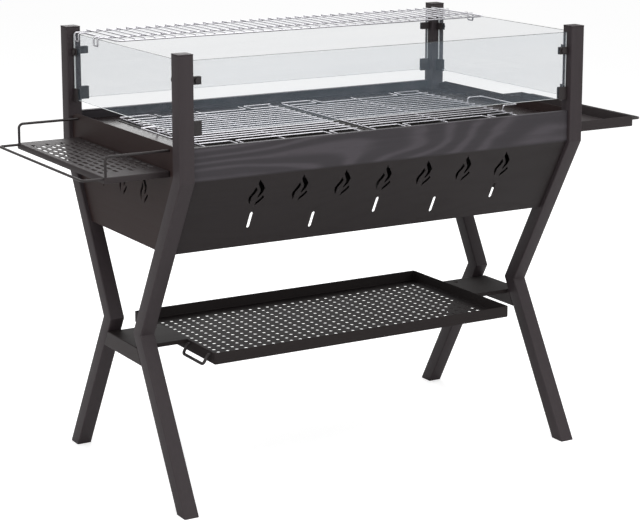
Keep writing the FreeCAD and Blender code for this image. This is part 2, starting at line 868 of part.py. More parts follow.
def make_shelf():
    body = new_body("bottom_shelf")
    half_x = size("shelf_length") / 2
    half_y = size("shelf_depth") / 2
    skin = size("shelf_sheet")
    block = sketch_on(body, "shelf_block", "XY_Plane", bracket_top - size("shelf_height"))
    add_rectangle(block, -half_x, -half_y, half_x, half_y)
    pad(body, block, size("shelf_height"))
    hollow = sketch_on(body, "shelf_hollow", "XY_Plane", bracket_top)
    add_rectangle(hollow, -half_x + skin, -half_y + skin, half_x - skin, half_y - skin)
    pocket(body, hollow, size("shelf_height") - skin)
    place(body)


def make_bracket(label, side):
    """Plate on the waist brace, with folded edges, that reaches in to the shelf's end."""
    body = new_body(label)
    skin = size("bracket_sheet")
    half = size("bracket_width") / 2
    outer = half_length
    inner = size("shelf_length") / 2
    fold = size("bracket_fold")
    top = sketch_on(body, label + "_top", "XY_Plane", bracket_top - skin)
    low_x, high_x = (inner, outer) if side > 0 else (-outer, -inner)
    add_rectangle(top, low_x, -half, high_x, half)
    pad(body, top, skin)
    end = sketch_on(body, label + "_end", "XY_Plane", bracket_top - fold)
    low_x, high_x = (inner, inner + skin) if side > 0 else (-inner - skin, -inner)
    add_rectangle(end, low_x, -half, high_x, half)
    pad(body, end, fold)
    clear = inner_face - gap
    low_x, high_x = (inner, clear) if side > 0 else (-clear, -inner)
    for name, low_y, high_y in (("front", -half, -half + skin), ("rear", half - skin, half)):
        edge = sketch_on(body, f"{label}_{name}_edge", "XY_Plane", bracket_top - size("bracket_edge"))
        add_rectangle(edge, low_x, low_y, high_x, high_y)
        pad(body, edge, size("bracket_edge"))
    hole = sketch_on(body, label + "_hole", "XY_Plane", bracket_top)
    middle = side * (inner + size("bracket_hole_step"))
    add_circle(hole, middle, half - size("bracket_hole_inset"), size("bracket_hole") / 2)
    pocket(body, hole, skin)
    place(body)


def make_shelf_handle():
    face = -size("shelf_length").value / 2 - gap.value / 2
    out = face - size("shelf_handle_reach").value
    wire = size("shelf_handle_wire").value
    top = bracket_top.value - wire
    low = top - size("shelf_handle_drop").value
    front = -size("shelf_handle_front").value
    rear = -size("shelf_handle_rear").value
    root_end = face - wire
    points = [(face, front, top), (root_end, front, top), (out, front, low),
              (out, rear, low), (root_end, rear, top), (face, rear, top)]
    wire_piece("shelf_handle", [bent_wire(points, wire, wire)])


def make_bracket_bolts():
    """Bolt heads under the brackets, beside the shelf."""
    solids = []
    for side_x in (-1, 1):
        along = side_x * (size("shelf_length") / 2 + size("bolt_step")).value
        for side_y in (-1, 1):
            across = side_y * (size("bracket_width") / 2 - size("bolt_inset")).value
            seat = Vector(along, across, (bracket_top - size("bracket_sheet")).value)
            solids.append(polygon_head(seat, Vector(0, 0, -1), size("bolt_head").value,
                                       size("bolt_head_height").value, BOLT_SIDES))
    wire_piece("bracket_bolts", solids)


for name_x, side_x in (("left", -1), ("right", 1)):
    for name_y, side_y in (("front", -1), ("rear", 1)):
        make_leg(f"leg_{name_y}_{name_x}", side_x, side_y)
        make_cap(f"post_cap_{name_y}_{name_x}", side_x, side_y)
        make_foot_plug(f"foot_plug_{name_y}_{name_x}", side_x, side_y)
    make_brace(f"waist_brace_{name_x}", side_x)
    make_end_panel(f"firebox_end_{name_x}", side_x)
    make_pan(f"charcoal_pan_{name_x}", side_x)
    make_grate(f"grate_{name_x}", side_x)
    make_grate_handle(f"grate_handle_{name_x}", side_x)
    make_end_glass(f"glass_{name_x}", side_x)
    make_hooks(f"rack_hooks_{name_x}", side_x)
    make_bracket(f"shelf_bracket_{name_x}", side_x)

for name_y, side_y in (("front", -1), ("rear", 1)):
    make_side_panel(f"firebox_{name_y}", side_y)
    make_long_glass(f"glass_{name_y}", side_y)
    make_left_rail(f"tray_rail_{name_y}", side_y)

lower_height = size("lower_clip_height").value
lower_floor = size("clip_floor").value
lower_bottom = glass_bottom.value - lower_floor
for name, wall_name, side in (("front", "long", -1), ("rear", "long", 1),
                              ("left", "end", -1), ("right", "end", 1)):
    make_clips(f"upper_clips_{name}", wall_name, side, size("upper_clip_height").value,
               (glass_top - size("upper_clip_drop")).value, 0)
    make_clips(f"lower_clips_{name}", wall_name, side, lower_height, lower_bottom, lower_floor)

make_ledge()
make_rack()
make_left_tray()
make_left_bar()
make_right_tray()
make_right_bar()
make_shelf()
make_shelf_handle()
make_bracket_bolts()

doc.recompute()

for item in doc.Objects:
    if "Invalid" in item.State or "Error" in item.State:
        raise RuntimeError(f"{item.Label} did not build: {item.State}")
for node in NODES:
    if node.Shape.isNull() or not node.Shape.isValid():
        raise RuntimeError(f"{node.Label} has no valid shape")

os.makedirs("parts", exist_ok=True)
for node in NODES:
    node.Shape.exportStep(f"parts/{node.Label}.step")

print(len(NODES), "nodes")
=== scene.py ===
import math

import bmesh
import bpy
import numpy as np
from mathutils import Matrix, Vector


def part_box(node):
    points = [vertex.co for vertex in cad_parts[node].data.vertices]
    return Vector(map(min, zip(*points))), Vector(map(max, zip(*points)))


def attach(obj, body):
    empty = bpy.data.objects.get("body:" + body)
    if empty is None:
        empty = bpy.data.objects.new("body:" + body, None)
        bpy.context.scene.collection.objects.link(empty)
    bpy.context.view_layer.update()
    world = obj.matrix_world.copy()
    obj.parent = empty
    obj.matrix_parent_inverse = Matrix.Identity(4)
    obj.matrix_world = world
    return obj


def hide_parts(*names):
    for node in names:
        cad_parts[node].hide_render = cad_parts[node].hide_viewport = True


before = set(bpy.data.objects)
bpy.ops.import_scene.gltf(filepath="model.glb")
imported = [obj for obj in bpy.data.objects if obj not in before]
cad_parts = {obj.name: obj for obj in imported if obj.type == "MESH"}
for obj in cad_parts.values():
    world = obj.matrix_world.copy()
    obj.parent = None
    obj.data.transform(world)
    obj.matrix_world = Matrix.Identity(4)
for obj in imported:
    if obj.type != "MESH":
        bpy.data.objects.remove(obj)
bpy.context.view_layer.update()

bl_info = {
    "name": "Charcoal grill",
    "version": (1, 0, 0),
    "blender": (4, 5, 0),
    "location": "3D View > Sidebar > Grill",
    "description": "Dresses the frame of a charcoal grill: painted tube, folded sheet, wire and glass",
    "category": "Add Mesh",
}

IMAGE_WIDTH = 640
IMAGE_HEIGHT = 528
SMALL = 1e-9

# Steps of a quarter turn, and the angles that tell a flat face and a fold
ARC_STEPS = 4
FOLD_STEPS = 3
FLAT_ANGLE = math.radians(1)
FOLD_ANGLE = math.radians(25)

# Edge radii, in metres
CAP_EDGE = 0.0014
GLASS_EDGE = 0.0012
BRACE_CORNER = 0.0028
PAN_EDGE = 0.0007
CLIP_EDGE = 0.0006
BRACKET_EDGE = 0.0008
LEAST_BEND = 0.0004


def corner(node, which):
    """Lowest (0) or highest (1) corner of a frame node, as an array."""
    return np.array(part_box(node)[which], dtype=float)


LEG_LOW = corner("leg_front_left", 0)
LEG_HIGH = corner("leg_front_left", 1)
TUBE = float(LEG_HIGH[0] - LEG_LOW[0])
CENTRE_X = float(LEG_LOW[0] + corner("leg_front_right", 1)[0]) / 2


class GrillSizes(bpy.types.PropertyGroup):
    """Sizes that the frame's boxes don't give."""

    shoulder: bpy.props.FloatProperty(name="Shoulder height", unit="LENGTH", default=0.730,
                                      description="Height at which the posts start to slant in")
    waist: bpy.props.FloatProperty(name="Waist height", unit="LENGTH", default=0.357,
                                   description="Height of the narrowest place of the legs")
    waist_half: bpy.props.FloatProperty(name="Waist half depth", unit="LENGTH", default=0.099,
                                        description="Outer face of the legs from the middle at the waist")
    tube_corner: bpy.props.FloatProperty(name="Tube corner", unit="LENGTH", default=0.003,
                                         description="Outer corner radius of the square tube")
    sheet_bend: bpy.props.FloatProperty(name="Sheet bend", unit="LENGTH", default=0.0025,
                                        description="Outer radius where the sheet metal is folded")
    shelf_hole: bpy.props.FloatProperty(name="Shelf hole", unit="LENGTH", default=0.0092,
                                        description="Diameter of the round holes in the bottom shelf")
    shelf_step: bpy.props.FloatProperty(name="Shelf hole step", unit="LENGTH", default=0.0235,
                                        description="Distance between the shelf's holes along X")
    shelf_pitch: bpy.props.FloatProperty(name="Shelf hole pitch", unit="LENGTH", default=0.0218,
                                         description="Distance between the shelf's holes along Y")
    tray_corner: bpy.props.FloatProperty(name="Tray corner", unit="LENGTH", default=0.004,
                                         description="Radius of the side trays' upright corners")
    bar_bend: bpy.props.FloatProperty(name="Bar bend", unit="LENGTH", default=0.009,
                                      description="Bend radius of the bars at the trays' outer ends")
    tray_slot: bpy.props.FloatProperty(name="Tray slot", unit="LENGTH", default=0.025,
                                       description="Length of the slots in the left tray")
    tray_slot_width: bpy.props.FloatProperty(name="Tray slot width", unit="LENGTH", default=0.0085,
                                             description="Width of the slots in the left tray")
    tray_slot_step: bpy.props.FloatProperty(name="Tray slot step", unit="LENGTH", default=0.0172,
                                            description="Distance between columns of slots")
    tray_slot_pitch: bpy.props.FloatProperty(name="Tray slot pitch", unit="LENGTH", default=0.033,
                                             description="Distance between slots of a column")
    tray_slot_margin: bpy.props.FloatProperty(name="Tray slot margin", unit="LENGTH", default=0.017,
                                              description="Middle of the first column from the outer edge")


class GrillColours(bpy.types.PropertyGroup):
    """Colours of the finishes."""

    paint: bpy.props.FloatVectorProperty(name="Paint", subtype="COLOR", default=(0.0315, 0.0242, 0.0250),
                                         description="Dark warm paint on the tube and the sheet metal")
    band: bpy.props.FloatVectorProperty(name="Band", subtype="COLOR", default=(0.0460, 0.0410, 0.0465),
                                        description="Cooler tone of the firebox's upright band")
    plastic: bpy.props.FloatVectorProperty(name="Plastic", subtype="COLOR", default=(0.018, 0.017, 0.017),
                                           description="Moulded caps and plugs")
    glass: bpy.props.FloatVectorProperty(name="Glass", subtype="COLOR", default=(0.32, 0.39, 0.46),
                                         description="Tint of the tempered glass")


def sizes():
    return bpy.context.scene.grill_sizes


def colours():
    return bpy.context.scene.grill_colours


# Surfaces

def grid_faces(rows, columns, wrap_rows, wrap_columns):
    """Quads of a grid of points, closed round in either direction where asked."""
    row = np.arange(rows if wrap_rows else rows - 1)[:, None]
    column = np.arange(columns if wrap_columns else columns - 1)[None, :]
    next_row = (row + 1) % rows
    next_column = (column + 1) % columns
    quads = np.stack([row * columns + column, row * columns + next_column,
                      next_row * columns + next_column, next_row * columns + column], axis=-1)
    return quads.reshape(-1, 4)


def fan_faces(loop):
    """Triangles that close a ring of point numbers about its first point."""
    loop = np.asarray(loop)
    first = np.full(len(loop) - 2, loop[0])
    return np.stack([first, loop[1:-1], loop[2:]], axis=-1)


class Surface:
    """Points and faces gathered from several grids into one mesh."""

    def __init__(self):
        self.points = []
        self.quads = []
        self.triangles = []
        self.count = 0

    def grid(self, points, wrap_rows=False, wrap_columns=False, cap=False):
        """Add a grid of points, shape rows by columns by 3, with flat ends if asked."""
        rows, columns = points.shape[:2]
        self.quads.append(grid_faces(rows, columns, wrap_rows, wrap_columns) + self.count)
        if cap:
            start = np.arange(columns) + self.count
            finish = np.arange(columns)[::-1] + (rows - 1) * columns + self.count
            self.triangles.append(fan_faces(start[::-1])[:, ::-1])
            self.triangles.append(fan_faces(finish[::-1])[:, ::-1])
        self.points.append(points.reshape(-1, 3))
        self.count += rows * columns

    def mesh(self, name):
        points = np.concatenate(self.points)
        quads = np.concatenate(self.quads) if self.quads else np.zeros((0, 4), int)
        triangles = np.concatenate(self.triangles) if self.triangles else np.zeros((0, 3), int)
        mesh = bpy.data.meshes.new(name)
        mesh.vertices.add(len(points))
        mesh.vertices.foreach_set("co", points.astype(np.float32).ravel())
        corners = np.concatenate([quads.ravel(), triangles.ravel()])
        totals = np.concatenate([np.full(len(quads), 4), np.full(len(triangles), 3)])
        starts = np.concatenate([[0], np.cumsum(totals)[:-1]])
        mesh.loops.add(len(corners))
        mesh.loops.foreach_set("vertex_index", corners.astype(np.int32))
        mesh.polygons.add(len(totals))
        mesh.polygons.foreach_set("loop_start", starts.astype(np.int32))
        mesh.update(calc_edges=True)
        mesh.validate()
        return mesh


def finish_piece(name, mesh, material, body, nodes=(), sharp=35.0, merge=True):
    """Make the object of a piece, turn its faces outward, and set it on its body."""
    work = bmesh.new()
    work.from_mesh(mesh)
    if merge:
        bmesh.ops.remove_doubles(work, verts=work.verts, dist=1e-6)
        bmesh.ops.dissolve_degenerate(work, edges=work.edges, dist=1e-7)
        bmesh.ops.recalc_face_normals(work, faces=work.faces)
    work.to_mesh(mesh)
    work.free()
    mesh.shade_smooth()
    mesh.set_sharp_from_angle(angle=math.radians(sharp))
    piece = bpy.data.objects.new(name, mesh)
    bpy.context.scene.collection.objects.link(piece)
    mesh.materials.append(material)
    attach(piece, body)
    if nodes:
        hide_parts(*nodes)
    return piece


def rounded_route(points, bend, steps=8, closed=False):
    """Straight runs joined by arcs: each corner is swapped for points on a circle of radius bend
    that touches both runs."""
    points = [np.array(point, dtype=float) for point in points]
    count = len(points)
    route = []
    for index, point in enumerate(points):
        if not closed and index in (0, count - 1):
            route.append(point[None, :])
            continue
        before = points[index - 1]
        after = points[(index + 1) % count]
        arriving = (point - before) / np.linalg.norm(point - before)
        leaving = (after - point) / np.linalg.norm(after - point)
        turn = math.acos(float(np.clip(arriving @ leaving, -1, 1)))
        if turn < 1e-4:
            route.append(point[None, :])
            continue
        towards = (leaving - arriving) / np.linalg.norm(leaving - arriving)
        centre = point + towards * (bend / math.cos(turn / 2))
        begin = point - arriving * (bend * math.tan(turn / 2))
        outward = (begin - centre) / np.linalg.norm(begin - centre)
        angle = np.linspace(0, turn, steps + 1)[:, None]
        route.append(centre + bend * (outward * np.cos(angle) + arriving * np.sin(angle)))
    return np.concatenate(route)


def tube_points(route, radius, sides=12, closed=False):
    """A circle of the given radius carried along a route, square to it, without twisting.

    Each section's sideways direction is the last one's, less its part along the route."""
    if closed:
        ahead = np.roll(route, -1, axis=0) - np.roll(route, 1, axis=0)
    else:
        ahead = np.gradient(route, axis=0)
    ahead /= np.linalg.norm(ahead, axis=1)[:, None] + SMALL
    helper = np.array([0.0, 0.0, 1.0]) if abs(ahead[0][2]) < 0.9 else np.array([0.0, 1.0, 0.0])
    sideways = np.cross(ahead[0], helper)
    sections = []
    for direction in ahead:
        sideways = sideways - direction * (sideways @ direction)
        sideways = sideways / np.linalg.norm(sideways)
        sections.append(sideways)
    sideways = np.array(sections)
    upward = np.cross(sideways, ahead)
    angle = np.linspace(0, 2 * math.pi, sides, endpoint=False)[None, :, None]
    return route[:, None, :] + radius * (sideways[:, None, :] * np.cos(angle)
                                         + upward[:, None, :] * np.sin(angle))


def add_wire(surface, points, radius, bend=None, sides=12, closed=False):
    """A round wire along straight runs with bends, its cut ends slightly rounded."""
    route = rounded_route(points, bend, closed=closed) if bend else np.array(points, dtype=float)
    if closed:
        surface.grid(tube_points(route, radius, sides, closed=True), wrap_rows=True, wrap_columns=True)
        return
    round_off = radius * 0.3
    first = (route[1] - route[0]) / np.linalg.norm(route[1] - route[0])
    last = (route[-1] - route[-2]) / np.linalg.norm(route[-1] - route[-2])
    body = np.concatenate([route[:1], route[:1] + first * round_off, route[1:-1],
                           route[-1:] - last * round_off, route[-1:]])
    points = tube_points(body, radius, sides)
    for end in (0, -1):
        middle = body[end]
        points[end] = middle + (points[end] - middle) * 0.7
    surface.grid(points, wrap_columns=True, cap=True)


def corner_arcs(steps=ARC_STEPS):
    """Angles of a quarter turn at each corner of a rounded square, and the corner's two signs."""
    quarter = np.linspace(0, math.pi / 2, steps + 1)
    angle = np.concatenate([quarter + turn * math.pi / 2 for turn in range(4)])
    return angle, np.repeat([1, -1, -1, 1], steps + 1), np.repeat([1, 1, -1, -1], steps + 1)


def block_points(low, high, radius, steps=3):
    """A block with rounded edges: a sphere of the given radius, cut in eight and moved out to the
    corners, so a point is its corner's centre plus radius times the sphere's direction."""
    low = np.array(low, dtype=float)
    high = np.array(high, dtype=float)
    around, around_x, around_y = corner_arcs(steps)
    quarter = np.linspace(0, math.pi / 2, steps + 1)
    rise = np.concatenate([quarter - math.pi / 2, quarter])
    rise_z = np.repeat([-1, 1], steps + 1)
    direction = np.stack([np.cos(rise)[:, None] * np.cos(around)[None, :],
                          np.cos(rise)[:, None] * np.sin(around)[None, :],
                          np.sin(rise)[:, None] * np.ones(len(around))[None, :]], axis=-1)
    signs = np.stack([np.ones(len(rise))[:, None] * around_x[None, :],
                      np.ones(len(rise))[:, None] * around_y[None, :],
                      rise_z[:, None] * np.ones(len(around))[None, :]], axis=-1)
    half = (high - low) / 2 - radius
    return (low + high) / 2 + signs * half + radius * direction


def rectangle_ring(low, high, radius):
    """Corner centres and outward directions round a rectangle with rounded corners."""
    angle, side_x, side_y = corner_arcs()
    middle = (np.array(low[:2]) + np.array(high[:2])) / 2
    half = (np.array(high[:2]) - np.array(low[:2])) / 2 - radius
    centres = middle + np.stack([side_x * half[0], side_y * half[1]], axis=-1)
    directions = np.stack([np.cos(angle), np.sin(angle)], axis=-1)
    return centres, directions


def add_tray_wall(surface, low, high, skin, corner_radius, bend, turned_down=False):
    """The folded rim of a sheet tray: a section of inset and height carried round a rounded rectangle.

    A point is the corner's centre plus (corner radius less inset) times the outward direction."""
    centres, directions = rectangle_ring(low, high, corner_radius)
    quarter = np.linspace(0, math.pi / 2, ARC_STEPS + 1)
    inner_bend = max(bend - skin, LEAST_BEND)
    height = high[2] - low[2]
    inner_floor = np.stack([bend - inner_bend * np.sin(quarter),
                            skin + inner_bend * (1 - np.cos(quarter))], axis=-1)
    lip = 2 * quarter
    rim = np.stack([skin / 2 + skin / 2 * np.cos(lip), height - skin / 2 + skin / 2 * np.sin(lip)], axis=-1)
    outer_floor = np.stack([bend * (1 - np.cos(quarter)), bend * (1 - np.sin(quarter))], axis=-1)
    section = np.concatenate([inner_floor, rim, outer_floor])
    inset, rise = section[:, 0], section[:, 1]
    if turned_down:
        rise = height - rise
    across = centres[None, :, :] + (corner_radius - inset)[:, None, None] * directions[None, :, :]
    level = np.broadcast_to((low[2] + rise)[:, None, None], across.shape[:2] + (1,))
    surface.grid(np.concatenate([across, level], axis=-1), wrap_rows=True, wrap_columns=True)


def cell_ring(half_x, half_y, count):
    """Points round a rectangle, count to each side, from its lower left corner."""
    share = np.linspace(-1, 1, count + 1)[:-1]
    low = np.stack([share * half_x, np.full(count, -half_y)], axis=-1)
    right = np.stack([np.full(count, half_x), share * half_y], axis=-1)
    top = np.stack([-share * half_x, np.full(count, half_y)], axis=-1)
    left = np.stack([np.full(count, -half_x), -share * half_y], axis=-1)
    return np.concatenate([low, right, top, left])


def hole_ring(ring, half_x, half_y, hole_half, hole_radius):
    """A round-ended hole seen from each point of the cell's edge: a circle whose halves are moved
    apart along Y by the straight part of the hole."""
    angle = np.arctan2(ring[:, 1] / half_y, ring[:, 0] / half_x)
    stretch = np.where(np.abs(np.sin(angle)) > 0.2, np.sign(ring[:, 1]), np.sin(angle) / 0.2)
    return np.stack([hole_radius * np.cos(angle),
                     hole_radius * np.sin(angle) + stretch * (hole_half - hole_radius)], axis=-1)


def add_plate(surface, low, high, top, skin):
    """A plain flat plate between two corners."""
    surface.grid(block_points([low[0], low[1], top - skin], [high[0], high[1], top], skin * 0.1, 1),
                 wrap_columns=True, cap=True)


def add_perforated(surface, low, high, top, skin, cell, counts, start, hole_half, hole_radius,
                   stagger=False):
    """A plate of holes: one cell's rings are worked out once, and a cell's points are its middle plus
    the rings. With stagger, every second column moves half a cell along Y and is one hole shorter.
    Half cells and the border are plain."""
    half = cell / 2
    ring = cell_ring(half[0], half[1], 4)
    hole = hole_ring(ring, half[0], half[1], hole_half, hole_radius)
    middles = []
    plain = []
    for column in range(counts[0]):
        odd = column % 2 if stagger else 0
        number = counts[1] - odd
        up = start[1] + (np.arange(number) + 0.5 + odd / 2) * cell[1]
        across = start[0] + (column + 0.5) * cell[0]
        middles.append(np.stack([np.full(number, across), up], axis=-1))
        if odd:
            for end in (start[1], start[1] + (counts[1] - 0.5) * cell[1]):
                plain.append(((across - half[0], end), (across + half[0], end + half[1])))
    middles = np.concatenate(middles)
    sides = len(ring)
    layers = [(ring, top), (hole, top), (hole, top - skin), (ring, top - skin)]
    points = np.stack([np.concatenate([layer, np.full((sides, 1), level)], axis=-1)
                       for layer, level in layers])
    offsets = np.concatenate([middles, np.zeros((len(middles), 1))], axis=-1)
    everything = points[None] + offsets[:, None, None, :]
    faces = grid_faces(len(layers), sides, False, True)
    numbers = np.arange(len(middles))[:, None, None] * (len(layers) * sides)
    surface.quads.append((faces[None] + numbers).reshape(-1, 4) + surface.count)
    surface.points.append(everything.reshape(-1, 3))
    surface.count += everything.reshape(-1, 3).shape[0]
    finish = start + counts * cell
    border = [((low[0], low[1]), (high[0], start[1])), ((low[0], finish[1]), (high[0], high[1])),
              ((low[0], start[1]), (start[0], finish[1])), ((finish[0], start[1]), (high[0], finish[1]))]
    for first, last in border + plain:
        if last[0] - first[0] > 1e-5 and last[1] - first[1] > 1e-5:
            add_plate(surface, first, last, top, skin)


# Shader sums

class Value:
    """A shader socket that takes part in ordinary sums."""

    def __init__(self, finish, socket):
        self.finish = finish
        self.socket = socket

    def sum(self, operation, first, second):
        return self.finish.node("ShaderNodeMath", {"operation": operation}, {0: first, 1: second})

    def __add__(self, other):
        return self.sum("ADD", self, other)

    def __radd__(self, other):
        return self.sum("ADD", other, self)

    def __sub__(self, other):
        return self.sum("SUBTRACT", self, other)

    def __rsub__(self, other):
        return self.sum("SUBTRACT", other, self)

    def __mul__(self, other):
        return self.sum("MULTIPLY", self, other)

    def __rmul__(self, other):
        return self.sum("MULTIPLY", other, self)

    def __pow__(self, other):
        return self.sum("POWER", self, other)


class Nodes:
    """A node tree put together from values."""

    def __init__(self, tree):
        self.tree = tree
        tree.nodes.clear()

    def connect(self, value, socket):
        if isinstance(value, Value):
            self.tree.links.new(value.socket, socket)
        else:
            socket.default_value = value

    def node(self, kind, settings=None, inputs=None, output=0):
        """One node: its settings first, then values or links for its sockets."""
        made = self.tree.nodes.new(kind)
        for name, setting in (settings or {}).items():
            setattr(made, name, setting)
        for name, value in (inputs or {}).items():
            self.connect(value, made.inputs[name])
        return Value(self, made.outputs[output])

    def blend(self, share, first, second):
        """A colour between two others."""
        return self.node("ShaderNodeMix", {"data_type": "RGBA"}, {0: share, 6: first, 7: second}, 2)

    def seen(self, *kinds):
        """One for the named kinds of ray, and nought for the rest."""
        total = 0.0
        for kind in kinds:
            total = self.node("ShaderNodeLightPath", output=kind) + total
        return total


class Finish(Nodes):
    """A material put together from values."""

    def __init__(self, name):
        self.material = bpy.data.materials.new(name)
        self.material.use_nodes = True
        super().__init__(self.material.node_tree)
        self.shader = self.tree.nodes.new("ShaderNodeBsdfPrincipled")
        output = self.tree.nodes.new("ShaderNodeOutputMaterial")
        self.tree.links.new(self.shader.outputs[0], output.inputs["Surface"])

    def set(self, **values):
        for name, value in values.items():
            self.connect(value, self.shader.inputs[name.replace("_", " ")])

    def place(self):
        return self.node("ShaderNodeTexCoord", output="Object")

    def height(self, low, high):
        """How far a point stands between two heights, from nought to one."""
        level = self.node("ShaderNodeSeparateXYZ", inputs={"Vector": self.place()}, output="Z")
        return self.node("ShaderNodeMapRange", inputs={"Value": level, "From Min": low, "From Max": high})

    def stretched(self, scale, offset=(0, 0, 0)):
        """Object coordinates scaled along each axis, so that a pattern runs long or short."""
        return self.node("ShaderNodeMapping", inputs={"Vector": self.place(), "Scale": scale,
                                                      "Location": offset})

    def noise(self, vector, scale, detail=3.0, rough=0.55):
        return self.node("ShaderNodeTexNoise", {"noise_dimensions": "3D"},
                         {"Vector": vector, "Scale": scale, "Detail": detail, "Roughness": rough})

    def bump(self, height, strength, distance):
        self.set(Normal=self.node("ShaderNodeBump", inputs={"Height": height, "Strength": strength,
                                                           "Distance": distance}))


def shade(colour, factor):
    return tuple(min(1.0, part * factor) for part in colour) + (1.0,)


def paint_finish(name, along, polish=0.0, tone=(1.0, 1.0, 1.0)):
    """Satin baked paint: fine streaks along one axis, soft cloudy sheen, faint dust and orange peel."""
    made = Finish(name)
    base = tuple(np.array(colours().paint) * tone)
    scale = [130.0, 130.0, 130.0]
    scale[along] = 2.5
    streaks = made.noise(made.stretched(scale), 1.0, 4.0, 0.6)
    clouds = made.noise(made.place(), 3.1, 3.0, 0.5)
    dust = made.noise(made.place(), 420.0, 2.0, 0.7)
    mottle = streaks * 0.55 + clouds * 0.45
    made.set(Base_Color=made.blend(mottle, shade(base, 0.70), shade(base, 1.30)),
             Roughness=(0.37 - polish) + mottle * 0.2 + dust * 0.05, Specular_IOR_Level=0.34)
    made.bump(streaks * 0.4 + dust * 0.6, 0.10, 0.0006)
    return made.material


def band_finish(name):
    """The firebox's sheet: its upright band is cooler, lighter and shows nested curves like wood,
    level lines of a slow relief, and the slanted part under the fold is darker, a painted shade where it
    faces down."""
    made = Finish(name)
    fold = sizes().shoulder
    upright = made.height(fold - 0.002, fold + 0.004)
    relief = made.noise(made.stretched((1.5, 1.5, 7.0), (1.7, 0.0, 0.6)), 1.0, 3.0, 0.2)
    wave = made.node("ShaderNodeMath", {"operation": "SINE"}, {0: relief * 120.0}) * 0.5 + 0.5
    streaks = made.noise(made.stretched((2.5, 130.0, 130.0)), 1.0, 4.0, 0.6)
    curves = wave ** 2.5 * made.noise(made.stretched((9.0, 9.0, 60.0)), 1.0, 4.0, 0.65)
    clouds = made.noise(made.place(), 2.3, 3.0, 0.5)
    dust = made.noise(made.place(), 420.0, 2.0, 0.7)
    base = tuple(colours().paint)
    band = tuple(colours().band)
    # painted shade: below the fold the paint is darkened to stand in for the shade on the downward-facing
    # slant
    plain = made.blend(streaks * 0.5 + clouds * 0.5, shade(base, 0.50), shade(base, 0.90))
    grained = made.blend(curves * 1.5 + streaks * 0.4 + clouds * 0.2, shade(band, 0.74), shade(band, 1.7))
    made.set(Base_Color=made.blend(upright, plain, grained),
             Roughness=0.42 + streaks * 0.12 + curves * 0.08, Specular_IOR_Level=0.26)
    made.bump(streaks * 0.4 + dust * 0.6, 0.10, 0.0006)
    return made.material


def chrome_finish(name):
    """Bright plating: clean metal with small changes of tint and polish from place to place."""
    made = Finish(name)
    patches = made.noise(made.place(), 22.0, 3.0, 0.6)
    specks = made.noise(made.place(), 300.0, 2.0, 0.6)
    made.set(Base_Color=made.blend(patches, (0.58, 0.57, 0.60, 1), (0.78, 0.77, 0.81, 1)), Metallic=1.0,
             Roughness=0.24 + patches * 0.10 + specks * 0.05)
    made.bump(specks, 0.05, 0.0003)
    return made.material


def wire_paint_finish(name):
    """Black paint over round wire: satin, with faint runs and dust."""
    made = Finish(name)
    cloud = made.noise(made.place(), 35.0, 3.0, 0.6)
    dust = made.noise(made.place(), 500.0, 2.0, 0.6)
    base = tuple(colours().paint)
    made.set(Base_Color=made.blend(cloud, shade(base, 0.55), shade(base, 0.95)),
             Roughness=0.36 + cloud * 0.18)
    made.bump(dust, 0.08, 0.0004)
    return made.material


def plastic_finish(name):
    """Moulded plastic with a fine even texture."""
    made = Finish(name)
    pits = made.noise(made.place(), 900.0, 2.0, 0.6)
    cloud = made.noise(made.place(), 30.0, 2.0, 0.5)
    base = tuple(colours().plastic)
    made.set(Base_Color=made.blend(cloud, shade(base, 0.8), shade(base, 1.3)),
             Roughness=0.48 + cloud * 0.14)
    made.bump(pits, 0.15, 0.0003)
    return made.material


def dark_pan_finish(name):
    """Bare inside of the fire pans: very dark sheet with a soft cloudy variation."""
    made = Finish(name)
    cloud = made.noise(made.place(), 9.0, 4.0, 0.6)
    fine = made.noise(made.place(), 260.0, 3.0, 0.6)
    made.set(Base_Color=made.blend(cloud, (0.012, 0.011, 0.011, 1), (0.034, 0.030, 0.029, 1)),
             Roughness=0.5 + fine * 0.25)
    made.bump(fine, 0.15, 0.0005)
    return made.material


def glass_finish(name):
    """Tempered glass seen through: mostly clear, cool, with faint wipe marks across it."""
    made = Finish(name)
    wipe = made.noise(made.stretched((2.0, 2.0, 60.0)), 1.0, 4.0, 0.6)
    tint = tuple(colours().glass)
    made.set(Base_Color=made.blend(wipe, shade(tint, 0.8), shade(tint, 1.2)),
             Alpha=0.078 + wipe * 0.045, Roughness=0.02 + wipe * 0.04, IOR=1.5)
    return made.material


def glass_edge_finish(name, bright):
    """Ground glass edge: the top edges are deep green-grey, and the others are painted near white, a
    painted highlight.
    """
    made = Finish(name)
    speck = made.noise(made.place(), 160.0, 3.0, 0.6)
    low, high = (0.010, 0.016, 0.015, 1), (0.035, 0.048, 0.045, 1)
    # painted highlight: the upright edges get a near white colour
    if bright:
        low, high = (0.62, 0.66, 0.66, 1), (0.86, 0.88, 0.88, 1)
    made.set(Base_Color=made.blend(speck, low, high), Alpha=0.94, Roughness=0.12 + speck * 0.2, IOR=1.5)
    return made.material


FINISHES = {}


